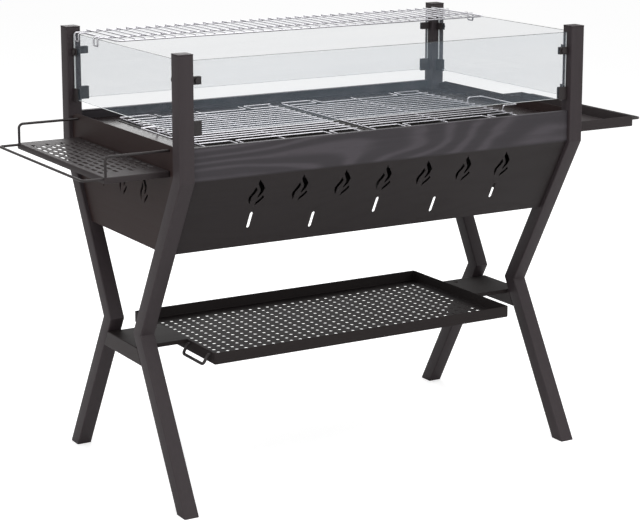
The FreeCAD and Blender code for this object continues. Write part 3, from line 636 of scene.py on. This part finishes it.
def finish(name):
    """Materials are made once and shared."""
    makers = {
        # upright paint: the frame paint made brighter and slightly cooler, painted light on the legs and
        # post caps
        "upright paint with painted light": lambda: paint_finish("upright paint with painted light", 2, 0.0, (1.30, 1.30, 1.38)),
        "long paint": lambda: paint_finish("long paint", 0),
        "band paint": lambda: band_finish("band paint"),
        # ledge paint: the frame paint darkened, painted shade where the ledge lies in deep shadow
        "ledge paint with painted shade": lambda: paint_finish("ledge paint with painted shade", 0, 0.22, (0.55, 0.48, 0.48)),
        # shelf paint: the frame paint darkened, painted shade for the shelf and brackets lying under the
        # firebox
        "shelf paint with painted shade": lambda: paint_finish("shelf paint with painted shade", 0, -0.2, (0.50, 0.44, 0.42)),
        # end paint: a warmer tint of the frame paint, darkened as painted shade on the end sheets
        "end paint": lambda: paint_finish("end paint", 1, -0.05, (0.85, 0.58, 0.52)),
        "cross paint": lambda: paint_finish("cross paint", 1),
        "chrome": lambda: chrome_finish("plated wire"),
        "wire paint": lambda: wire_paint_finish("painted wire"),
        "plastic": lambda: plastic_finish("moulded plastic"),
        "dark pan": lambda: dark_pan_finish("dark pan sheet"),
        "glass": lambda: glass_finish("tempered glass"),
        "glass edge": lambda: glass_edge_finish("ground glass edge", False),
        "edge with painted highlight": lambda: glass_edge_finish("upright glass edge", True),
    }
    if name not in FINISHES:
        FINISHES[name] = makers[name]()
    return FINISHES[name]


def folded_copy(node, material, body, radius):
    """A frame node's sheet with its folds rounded: its flat faces are joined and its edges bevelled."""
    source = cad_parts[node]
    mesh = source.data.copy()
    work = bmesh.new()
    work.from_mesh(mesh)
    bmesh.ops.remove_doubles(work, verts=work.verts, dist=1e-6)
    bmesh.ops.dissolve_limit(work, angle_limit=FLAT_ANGLE, verts=work.verts, edges=work.edges)
    work.to_mesh(mesh)
    work.free()
    mesh.materials.clear()
    piece = finish_piece(node + "_sheet", mesh, material, body, [node], merge=False)
    bevel = piece.modifiers.new("folds", "BEVEL")
    bevel.width = radius
    bevel.segments = FOLD_STEPS
    bevel.limit_method = "ANGLE"
    bevel.angle_limit = FOLD_ANGLE
    bevel.use_clamp_overlap = True
    bevel.harden_normals = False


# Tube frame

def leg_stations(side):
    """For a point inset a from the leg's outer face, its Y and Z at each end and fold of the leg.

    Upper and lower runs lean by their sideways travel over height, and a fold lies where the two
    runs' lines, both moved inward by the inset, cross."""
    made = sizes()
    half_depth = abs(float(LEG_LOW[1]))
    upper = (half_depth - made.waist_half) / (made.shoulder - made.waist)
    lower = (half_depth - made.waist_half) / made.waist
    upper_slant = math.sqrt(1 + upper * upper)
    lower_slant = math.sqrt(1 + lower * lower)
    top = float(LEG_HIGH[2])

    def stations(inset):
        fold = made.shoulder + inset * (upper_slant - 1) / upper
        kink = inset * (upper_slant - lower_slant) / (upper + lower)
        across = np.stack([half_depth - inset, half_depth - inset,
                           made.waist_half - lower * kink - lower_slant * inset,
                           half_depth - lower_slant * inset])
        height = np.stack([np.full_like(inset, top), fold, made.waist + kink, np.zeros_like(inset)])
        return side * across, height

    return stations


def add_leg(surface, low_x, side):
    """A rounded square section carried down the leg's centre line and mitred at its folds."""
    radius = sizes().tube_corner
    angle, side_x, side_a = corner_arcs()
    half = TUBE / 2
    along = low_x + half + side_x * (half - radius) + radius * np.cos(angle)
    inset = half + side_a * (half - radius) + radius * np.sin(angle)
    across, height = leg_stations(side)(inset)
    points = np.stack([np.broadcast_to(along, across.shape), across, height], axis=-1)
    surface.grid(points, wrap_columns=True, cap=True)


class GRILL_OT_legs(bpy.types.Operator):
    """Make the four bent tube legs"""

    bl_idname = "grill.legs"
    bl_label = "Legs"

    def execute(self, context):
        for name in ("front_left", "rear_left", "front_right", "rear_right"):
            surface = Surface()
            node = "leg_" + name
            add_leg(surface, float(corner(node, 0)[0]), -1 if "front" in name else 1)
            finish_piece("leg_tube_" + name, surface.mesh(node), finish("upright paint with painted light"), "stand", [node],
                         sharp=12)
        return {"FINISHED"}


class GRILL_OT_caps(bpy.types.Operator):
    """Make the caps on the posts and the plugs in the feet"""

    bl_idname = "grill.caps"
    bl_label = "Caps and plugs"

    def execute(self, context):
        for name in ("front_left", "rear_left", "front_right", "rear_right"):
            node = "post_cap_" + name
            low, high = corner(node, 0), corner(node, 1)
            surface = Surface()
            low[2] = float(LEG_HIGH[2])
            surface.grid(block_points(low, high, CAP_EDGE, ARC_STEPS), wrap_columns=True, cap=True)
            finish_piece("post_cap_shell_" + name, surface.mesh(node), finish("upright paint with painted light"), "stand",
                         [node])
            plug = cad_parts["foot_plug_" + name]
            plug.data.materials.clear()
            plug.data.materials.append(finish("plastic"))
        return {"FINISHED"}


class GRILL_OT_braces(bpy.types.Operator):
    """Make the two tubes that join the legs at the waist"""

    bl_idname = "grill.braces"
    bl_label = "Waist braces"

    def execute(self, context):
        for name in ("left", "right"):
            folded_copy("waist_brace_" + name, finish("cross paint"), "stand", BRACE_CORNER)
        return {"FINISHED"}


# Firebox

class GRILL_OT_firebox(bpy.types.Operator):
    """Make the folded sheets of the firebox and its ledge"""

    bl_idname = "grill.firebox"
    bl_label = "Firebox"

    def execute(self, context):
        edge = sizes().sheet_bend * 0.3
        # the end sheets take end paint, whose darkening is painted shade
        for name, paint in (("front", "band"), ("rear", "band"), ("end_left", "end"), ("end_right", "end")):
            folded_copy("firebox_" + name, finish(paint + " paint"), "stand", edge)
        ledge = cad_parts["firebox_ledge"]
        ledge.data.materials.clear()
        ledge.data.materials.append(finish("ledge paint with painted shade"))
        return {"FINISHED"}


class GRILL_OT_pans(bpy.types.Operator):
    """Make the fire pans"""

    bl_idname = "grill.pans"
    bl_label = "Fire pans"

    def execute(self, context):
        for name in ("left", "right"):
            folded_copy("charcoal_pan_" + name, finish("dark pan"), "pan_" + name, PAN_EDGE)
        return {"FINISHED"}


# Wire work

class GRILL_OT_grates(bpy.types.Operator):
    """Make the two welded wire grates and their lifting handles"""

    bl_idname = "grill.grates"
    bl_label = "Grates"

    cross_wire: bpy.props.FloatProperty(name="Cross wire", unit="LENGTH", default=0.004,
                                        description="Thickness of the three cross wires and the handles")
    long_wire: bpy.props.FloatProperty(name="Long wire", unit="LENGTH", default=0.003,
                                       description="Thickness of the wires that carry the food")
    rows: bpy.props.IntProperty(name="Rows", default=6,
                                description="Straight long wires on each side of the middle one")
    pitch: bpy.props.FloatProperty(name="Pitch", unit="LENGTH", default=0.025,
                                   description="Distance between the long wires")
    notch_depth: bpy.props.FloatProperty(name="Loop depth", unit="LENGTH", default=0.042,
                                         description="Depth of the loops along the front and rear edges")
    corner_end: bpy.props.FloatProperty(name="Corner loop end", unit="LENGTH", default=0.1245,
                                        description="Where a corner loop turns, from the grate's middle")
    middle_end: bpy.props.FloatProperty(name="Middle wire end", unit="LENGTH", default=0.1105,
                                        description="Where a middle wire turns, from the grate's middle")
    notch_bend: bpy.props.FloatProperty(name="Notch bend", unit="LENGTH", default=0.005,
                                        description="Bend radius of the front and rear wires")
    handle_bend: bpy.props.FloatProperty(name="Handle bend", unit="LENGTH", default=0.005,
                                         description="Bend radius of the lifting handles")
    handle_foot: bpy.props.FloatProperty(name="Handle foot", unit="LENGTH", default=0.008,
                                         description="Wire between the grate and the handle's rise")

    def execute(self, context):
        for name in ("left", "right"):
            self.wires(name)
            self.handle(name)
        return {"FINISHED"}

    def wires(self, name):
        low, high = corner("grate_" + name, 0), corner("grate_" + name, 1)
        thick, thin = self.cross_wire / 2, self.long_wire / 2
        lower, upper = low[2] + thick, high[2] - thin
        middle, half = (low[0] + high[0]) / 2, (high[0] - low[0]) / 2
        outer = high[1] - thick
        surface = Surface()
        for row in range(-self.rows, self.rows + 1):
            across = row * self.pitch
            add_wire(surface, [(low[0], across, upper), (high[0], across, upper)], thin, sides=10)
        for side_y in (-1, 1):
            near, far = side_y * (outer - self.notch_depth), side_y * outer
            left, right = middle - self.middle_end, middle + self.middle_end
            add_wire(surface, [(left, far, upper), (left, near, upper), (right, near, upper),
                               (right, far, upper)], thin, self.notch_bend, sides=10)
            for side_x in (-1, 1):
                end, turn = middle + side_x * half, middle + side_x * self.corner_end
                add_wire(surface, [(end, far, upper), (turn, far, upper), (turn, near, upper),
                                   (end, near, upper)], thin, self.notch_bend, sides=10)
        for along in (low[0] + 2 * thick, middle, high[0] - 2 * thick):
            add_wire(surface, [(along, low[1], lower), (along, high[1], lower)], thick, sides=10)
        finish_piece("grate_wires_" + name, surface.mesh("grate_" + name), finish("chrome"),
                     "cooking_grate_" + name, ["grate_" + name])

    def handle(self, name):
        node = "grate_handle_" + name
        low, high = corner(node, 0), corner(node, 1)
        side = -1 if name == "left" else 1
        radius = self.cross_wire / 2
        near = high[0] if side < 0 else low[0]
        grip = low[0] + radius if side < 0 else high[0] - radius
        foot = near + side * self.handle_foot
        bottom, top = low[2] + radius, high[2] - radius
        front, rear = low[1] + radius, high[1] - radius
        surface = Surface()
        add_wire(surface, [(near, rear, bottom), (foot, rear, bottom), (foot, rear, top), (grip, rear, top),
                           (grip, front, top), (foot, front, top), (foot, front, bottom),
                           (near, front, bottom)], radius, self.handle_bend)
        finish_piece("grate_handle_wire_" + name, surface.mesh(node), finish("chrome"),
                     "cooking_grate_" + name, [node])


class GRILL_OT_rack(bpy.types.Operator):
    """Make the warming rack and the hooks that hang it on the end panes"""

    bl_idname = "grill.rack"
    bl_label = "Warming rack"

    frame_wire: bpy.props.FloatProperty(name="Frame wire", unit="LENGTH", default=0.004,
                                        description="Thickness of the rack's outer wire")
    cross_wire: bpy.props.FloatProperty(name="Cross wire", unit="LENGTH", default=0.003,
                                        description="Thickness of the rack's cross wires")
    pitch: bpy.props.FloatProperty(name="Pitch", unit="LENGTH", default=0.025,
                                   description="Distance between cross wires")
    middle_place: bpy.props.FloatProperty(name="Middle wire", unit="LENGTH", default=0.125,
                                          description="Y of the wire between front and rear")
    frame_bend: bpy.props.FloatProperty(name="Frame bend", unit="LENGTH", default=0.012,
                                        description="Bend radius at the rack's corners")
    hook_width: bpy.props.FloatProperty(name="Hook width", unit="LENGTH", default=0.021,
                                        description="Distance between the two wires of a hook")

    def execute(self, context):
        low, high = corner("warming_rack", 0), corner("warming_rack", 1)
        radius = self.frame_wire / 2
        thin = self.cross_wire / 2
        level = low[2] + radius
        top = high[2] - thin
        surface = Surface()
        loop = [(low[0] + radius, low[1] + radius, level), (high[0] - radius, low[1] + radius, level),
                (high[0] - radius, high[1] - radius, level), (low[0] + radius, high[1] - radius, level)]
        add_wire(surface, loop, radius, self.frame_bend, closed=True)
        add_wire(surface, [(low[0] + radius, self.middle_place, level),
                           (high[0] - radius, self.middle_place, level)], radius)
        half = (high[0] - low[0]) / 2 - self.frame_wire
        count = 2 * int((half - self.frame_bend) / self.pitch) + 1
        for index in range(count):
            along = CENTRE_X + (index - (count - 1) / 2) * self.pitch
            add_wire(surface, [(along, low[1], top), (along, high[1], top)], thin, sides=8)
        finish_piece("warming_rack_wires", surface.mesh("rack"), finish("chrome"), "rack", ["warming_rack"])
        for name in ("left", "right"):
            self.hooks(name, radius)
        return {"FINISHED"}

    def hooks(self, name, radius):
        node = "rack_hooks_" + name
        low, high = corner(node, 0), corner(node, 1)
        side = -1 if name == "left" else 1
        near = high[0] if side < 0 else low[0]
        out = low[0] + radius if side < 0 else high[0] - radius
        top, bottom = high[2] - radius, low[2] + radius
        surface = Surface()
        for front in (low[1] + radius, high[1] - radius - self.hook_width):
            rear = front + self.hook_width
            add_wire(surface, [(near, front, top), (out, front, top), (out, front, bottom),
                               (out, rear, bottom), (out, rear, top), (near, rear, top)],
                     radius, radius * 2)
        finish_piece("rack_hook_wires_" + name, surface.mesh(node), finish("chrome"), "rack", [node])


# Glass and clips

class GRILL_OT_glass(bpy.types.Operator):
    """Make the four glass panes with ground edges"""

    bl_idname = "grill.glass"
    bl_label = "Glass"

    def execute(self, context):
        bodies = {"front": "front_pane", "rear": "rear_pane", "left": "stand", "right": "stand"}
        for name, body in bodies.items():
            node = "glass_" + name
            low, high = corner(node, 0), corner(node, 1)
            surface = Surface()
            surface.grid(block_points(low, high, GLASS_EDGE), wrap_columns=True, cap=True)
            pane = finish_piece("pane_" + name, surface.mesh(node), finish("glass"), body, [node])
            pane.data.materials.append(finish("glass edge"))
            pane.data.materials.append(finish("edge with painted highlight"))
            thin = 1 if name in ("front", "rear") else 0
            facing = np.zeros(len(pane.data.polygons) * 3)
            pane.data.polygons.foreach_get("normal", facing)
            facing = facing.reshape(-1, 3)
            # edges that don't face up take the near white edge, a painted highlight
            edge = np.where(facing[:, 2] > 0.5, 1, 2)
            kind = np.where(np.abs(facing[:, thin]) > 0.9, 0, edge)
            pane.data.polygons.foreach_set("material_index", kind.astype(np.int32))
        return {"FINISHED"}


class GRILL_OT_clips(bpy.types.Operator):
    """Finish the channel clips and clamps that hold the panes"""

    bl_idname = "grill.clips"
    bl_label = "Clips"

    def execute(self, context):
        for name in ("front", "rear", "left", "right"):
            for kind in ("upper_clips_", "lower_clips_"):
                folded_copy(kind + name, finish("wire paint"), "stand", CLIP_EDGE)
        return {"FINISHED"}


# Side trays and shelf

def make_bar(name):
    """The wire bar along a tray's outer end, bent round at both corners."""
    node = "towel_bar_" + name
    low, high = corner(node, 0), corner(node, 1)
    radius = float(high[2] - low[2]) / 2
    level = (low[2] + high[2]) / 2
    front, rear = low[1] + radius, high[1] - radius
    near, far = (high[0], low[0] + radius) if name == "left" else (low[0], high[0] - radius)
    surface = Surface()
    add_wire(surface, [(near, front, level), (far, front, level), (far, rear, level), (near, rear, level)],
             radius, sizes().bar_bend)
    finish_piece("bar_wire_" + name, surface.mesh("bar"), finish("wire paint"), "stand", [node])


class GRILL_OT_left_tray(bpy.types.Operator):
    """Make the slotted left tray, its guard rails and its bar"""

    bl_idname = "grill.left_tray"
    bl_label = "Left tray"

    skin: bpy.props.FloatProperty(name="Sheet", unit="LENGTH", default=0.0015,
                                  description="Thickness of the tray's sheet")
    columns: bpy.props.IntProperty(name="Columns", default=8, description="Columns of slots along X")
    rows: bpy.props.IntProperty(name="Rows", default=12, description="Slots in a long column")
    rail_bend: bpy.props.FloatProperty(name="Rail bend", unit="LENGTH", default=0.010,
                                       description="Bend radius of the guard rails")

    def execute(self, context):
        low, high = corner("side_tray_left", 0), corner("side_tray_left", 1)
        surface = Surface()
        made = sizes()
        bend = made.sheet_bend
        add_tray_wall(surface, low, high, self.skin, made.tray_corner, bend, turned_down=True)
        cell = np.array([made.tray_slot_step, made.tray_slot_pitch])
        counts = np.array([self.columns, self.rows])
        start = np.array([low[0] + made.tray_slot_margin - cell[0] / 2, -counts[1] * cell[1] / 2])
        edge = np.array([bend, bend, 0])
        add_perforated(surface, low + edge, high - edge, high[2], self.skin, cell, counts, start,
                       made.tray_slot / 2, made.tray_slot_width / 2, stagger=True)
        finish_piece("slotted_tray", surface.mesh("tray"), finish("cross paint"), "stand",
                     ["side_tray_left"])
        self.rails()
        make_bar("left")
        return {"FINISHED"}

    def rails(self):
        for name in ("front", "rear"):
            node = "tray_rail_" + name
            low, high = corner(node, 0), corner(node, 1)
            radius = float(high[1] - low[1]) / 2
            middle = (low[1] + high[1]) / 2
            post, level = low[0] + radius, high[2] - radius
            surface = Surface()
            add_wire(surface, [(post, middle, low[2]), (post, middle, level), (high[0], middle, level)],
                     radius, self.rail_bend)
            finish_piece("rail_wire_" + name, surface.mesh(node), finish("wire paint"), "stand", [node])


class GRILL_OT_right_tray(bpy.types.Operator):
    """Make the solid right tray and its bar"""

    bl_idname = "grill.right_tray"
    bl_label = "Right tray"

    skin: bpy.props.FloatProperty(name="Sheet", unit="LENGTH", default=0.0015,
                                  description="Thickness of the tray's sheet")

    def execute(self, context):
        low, high = corner("side_tray_right", 0), corner("side_tray_right", 1)
        surface = Surface()
        bend = sizes().sheet_bend
        add_tray_wall(surface, low, high, self.skin, sizes().tray_corner, bend)
        edge = np.array([bend, bend, 0]) * 0.9
        add_plate(surface, low + edge, high - edge, low[2] + self.skin, self.skin)
        finish_piece("solid_tray", surface.mesh("tray"), finish("cross paint"), "stand",
                     ["side_tray_right"])
        make_bar("right")
        return {"FINISHED"}


class GRILL_OT_shelf(bpy.types.Operator):
    """Make the perforated bottom shelf, its handle and its brackets"""

    bl_idname = "grill.shelf"
    bl_label = "Bottom shelf"

    skin: bpy.props.FloatProperty(name="Sheet", unit="LENGTH", default=0.0012,
                                  description="Thickness of the shelf's sheet")
    bend: bpy.props.FloatProperty(name="Bend", unit="LENGTH", default=0.003,
                                  description="Outer radius where the floor turns up into the wall")
    corner_radius: bpy.props.FloatProperty(name="Corner", unit="LENGTH", default=0.005,
                                           description="Radius of the shelf's upright corners")
    columns: bpy.props.IntProperty(name="Columns", default=32, description="Holes along X")
    rows: bpy.props.IntProperty(name="Rows", default=16, description="Holes along Y")
    handle_wire: bpy.props.FloatProperty(name="Handle wire", unit="LENGTH", default=0.007,
                                         description="Thickness of the shelf's handle")

    def execute(self, context):
        low, high = corner("bottom_shelf", 0), corner("bottom_shelf", 1)
        surface = Surface()
        add_tray_wall(surface, low, high, self.skin, self.corner_radius, self.bend)
        edge = np.array([self.bend, self.bend, 0])
        cell = np.array([sizes().shelf_step, sizes().shelf_pitch])
        counts = np.array([self.columns, self.rows])
        start = (low + high)[:2] / 2 - counts * cell / 2
        add_perforated(surface, low + edge, high - edge, low[2] + self.skin, self.skin, cell, counts, start,
                       sizes().shelf_hole / 2, sizes().shelf_hole / 2)
        finish_piece("perforated_shelf", surface.mesh("shelf"), finish("shelf paint with painted shade"), "stand",
                     ["bottom_shelf"])
        self.handle()
        for name in ("left", "right"):
            folded_copy("shelf_bracket_" + name, finish("shelf paint with painted shade"), "stand", BRACKET_EDGE)
        folded_copy("bracket_bolts", finish("plastic"), "stand", BRACKET_EDGE)
        return {"FINISHED"}

    def handle(self):
        low, high = corner("shelf_handle", 0), corner("shelf_handle", 1)
        radius = self.handle_wire / 2
        near, out = high[0], low[0] + radius
        root = near - 2 * radius
        top, bottom = high[2] - radius, low[2] + radius
        front, rear = low[1] + radius, high[1] - radius
        surface = Surface()
        add_wire(surface, [(near, front, top), (root, front, top), (out, front, bottom),
                           (out, rear, bottom), (root, rear, top), (near, rear, top)], radius, 2 * radius)
        finish_piece("shelf_handle_wire", surface.mesh("handle"), finish("wire paint"), "stand",
                     ["shelf_handle"])


# Stage

# Each light's name, place, the height it points at over the middle, its side and its power
SOFT_BOXES = (
    ("top_light", (0.2, -0.6, 3.2), 0.6, 3.0, 55.0),
    ("left_light", (-3.6, -1.4, 2.0), 0.6, 2.2, 38.0),
    ("front_light", (1.6, -4.2, 1.9), 0.6, 2.4, 30.0),
    ("rear_light", (1.0, 3.8, 2.6), 0.8, 2.6, 42.0),
    ("right_light", (3.9, 0.6, 2.2), 0.7, 2.4, 34.0),
)


class GRILL_OT_stage(bpy.types.Operator):
    """Make the pale floor, the soft lights and the camera"""

    bl_idname = "grill.stage"
    bl_label = "Floor, lights and camera"

    azimuth: bpy.props.FloatProperty(name="Azimuth", default=30.469,
                                     description="Turn of the view from straight ahead, in degrees")
    elevation: bpy.props.FloatProperty(name="Elevation", default=11.328,
                                       description="Height of the view above level, in degrees")
    distance: bpy.props.FloatProperty(name="Distance", unit="LENGTH", default=4.4987,
                                      description="Distance from the camera to the point it looks at")
    focal_pixels: bpy.props.FloatProperty(name="Focal length", default=1922.8,
                                          description="Focal length in pixels of the picture's width")
    axis_row: bpy.props.FloatProperty(name="Axis row", default=184.0,
                                      description="Row of the picture that the camera's axis meets")
    target: bpy.props.FloatVectorProperty(name="Target", subtype="TRANSLATION",
                                          default=(-0.0365, 0.0, 0.6277),
                                          description="Point that the camera looks at")

    def execute(self, context):
        self.floor()
        self.lights()
        self.camera()
        return {"FINISHED"}

    def floor(self):
        reach = 14.0
        mesh = bpy.data.meshes.new("floor")
        corners = [(-reach, -reach, 0), (reach, -reach, 0), (reach, reach, 0), (-reach, reach, 0)]
        mesh.from_pydata(corners, [], [(0, 1, 2, 3)])
        floor = bpy.data.objects.new("floor", mesh)
        bpy.context.scene.collection.objects.link(floor)
        made = Finish("pale floor")
        mottle = made.noise(made.place(), 1.3, 2.0, 0.5)
        seen = made.seen("Is Camera Ray", "Is Transmission Ray")
        made.set(Base_Color=made.blend(mottle, (0.78, 0.78, 0.78, 1), (0.80, 0.80, 0.80, 1)),
                 Roughness=0.9 + mottle * 0.1, Specular_IOR_Level=0.0, Emission_Strength=1.0,
                 Emission_Color=made.blend(seen, (0, 0, 0, 1), (0.64, 0.64, 0.64, 1)))
        floor.data.materials.append(made.material)

    def lights(self):
        world = bpy.data.worlds.new("studio")
        bpy.context.scene.world = world
        world.use_nodes = True
        made = Nodes(world.node_tree)
        soft = made.node("ShaderNodeBackground", inputs={"Color": (1.0, 1.0, 1.0, 1), "Strength": 0.42})
        white = made.node("ShaderNodeBackground", inputs={"Color": (1.0, 1.0, 1.0, 1), "Strength": 1.0})
        mixed = made.node("ShaderNodeMixShader", inputs={0: made.seen("Is Camera Ray"), 1: soft, 2: white})
        output = made.tree.nodes.new("ShaderNodeOutputWorld")
        made.connect(mixed, output.inputs["Surface"])
        for box in SOFT_BOXES:
            self.soft_box(*box)

    def soft_box(self, name, place, height, size, power):
        data = bpy.data.lights.new(name, "AREA")
        data.shape = "SQUARE"
        data.size = size
        data.energy = power
        lamp = bpy.data.objects.new(name, data)
        bpy.context.scene.collection.objects.link(lamp)
        lamp.location = place
        lamp.rotation_mode = "QUATERNION"
        lamp.rotation_quaternion = (Vector((0, 0, height)) - Vector(place)).to_track_quat("-Z", "Y")

    def camera(self):
        scene = bpy.context.scene
        data = bpy.data.cameras.new("view")
        camera = bpy.data.objects.new("view", data)
        scene.collection.objects.link(camera)
        data.sensor_width = 36.0
        data.lens = self.focal_pixels / IMAGE_WIDTH * data.sensor_width
        data.shift_y = (self.axis_row - IMAGE_HEIGHT / 2) / IMAGE_WIDTH
        data.clip_end = 100.0
        turn = math.radians(self.azimuth)
        rise = math.radians(self.elevation)
        ahead = Vector((math.sin(turn) * math.cos(rise), math.cos(turn) * math.cos(rise), -math.sin(rise)))
        camera.location = Vector(self.target) - ahead * self.distance
        camera.rotation_mode = "QUATERNION"
        camera.rotation_quaternion = ahead.to_track_quat("-Z", "Y")
        scene.camera = camera
        scene.view_settings.view_transform = "Standard"


class GRILL_PT_panel(bpy.types.Panel):
    """Lists the steps that dress the grill"""

    bl_idname = "GRILL_PT_panel"
    bl_label = "Charcoal grill"
    bl_space_type = "VIEW_3D"
    bl_region_type = "UI"
    bl_category = "Grill"

    def draw(self, context):
        for step in STEPS:
            self.layout.operator(step.bl_idname)


STEPS = (
    GRILL_OT_legs,
    GRILL_OT_caps,
    GRILL_OT_braces,
    GRILL_OT_firebox,
    GRILL_OT_pans,
    GRILL_OT_grates,
    GRILL_OT_rack,
    GRILL_OT_glass,
    GRILL_OT_clips,
    GRILL_OT_left_tray,
    GRILL_OT_right_tray,
    GRILL_OT_shelf,
    GRILL_OT_stage,
)
CLASSES = (GrillSizes, GrillColours) + STEPS + (GRILL_PT_panel,)


def register():
    for item in CLASSES:
        bpy.utils.register_class(item)
    bpy.types.Scene.grill_sizes = bpy.props.PointerProperty(type=GrillSizes)
    bpy.types.Scene.grill_colours = bpy.props.PointerProperty(type=GrillColours)


def unregister():
    del bpy.types.Scene.grill_colours
    del bpy.types.Scene.grill_sizes
    for item in reversed(CLASSES):
        bpy.utils.unregister_class(item)


def main():
    register()
    for step in STEPS:
        group, name = step.bl_idname.split(".")
        getattr(getattr(bpy.ops, group), name)()


if __name__ == "__main__":
    main()
